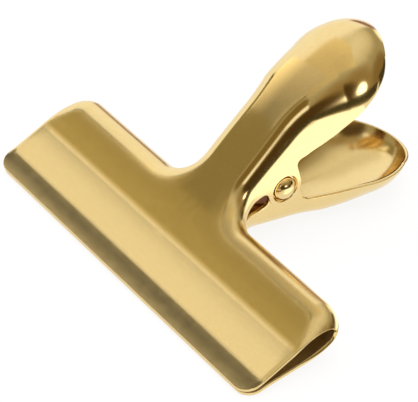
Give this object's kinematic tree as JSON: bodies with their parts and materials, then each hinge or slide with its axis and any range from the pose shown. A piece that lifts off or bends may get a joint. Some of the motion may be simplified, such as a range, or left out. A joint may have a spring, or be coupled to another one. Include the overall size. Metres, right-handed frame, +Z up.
{
  "type": "bulldog clip",
  "caption": "Sprung bulldog clip of bent gold sheet: wide T-shaped jaws, dished spoon handles and a leaf spring behind a domed hinge; squeeze the handles to open the jaws.",
  "frame": {"origin": "bottom centre of the clip as it lies closed on its rear half", "axes": "+Z up from the table, +X along the jaws, +Y from the lips to the handle tips"},
  "size_m": [0.076, 0.0618, 0.0345],
  "materials": {
    "gold_plate": "polished gold-coloured plating with a fine rolling grain",
    "spring_steel": "bright tempered strip"
  },
  "bodies": {
    "rear": {"rear_half": "gold_plate", "spring": "spring_steel"},
    "front": {"front_half": "gold_plate"}
  },
  "joints": [
    {"name": "jaw_hinge", "type": "hinge", "parent": "rear", "child": "front", "pos_m": [0, 0.00008, 0.01079], "axis": [-1, 0, 0], "range_deg": [0, 40], "stiffness_Nm_per_rad": 0.36, "springref_deg": -24.06, "deforming": ["spring"]}
  ]
}
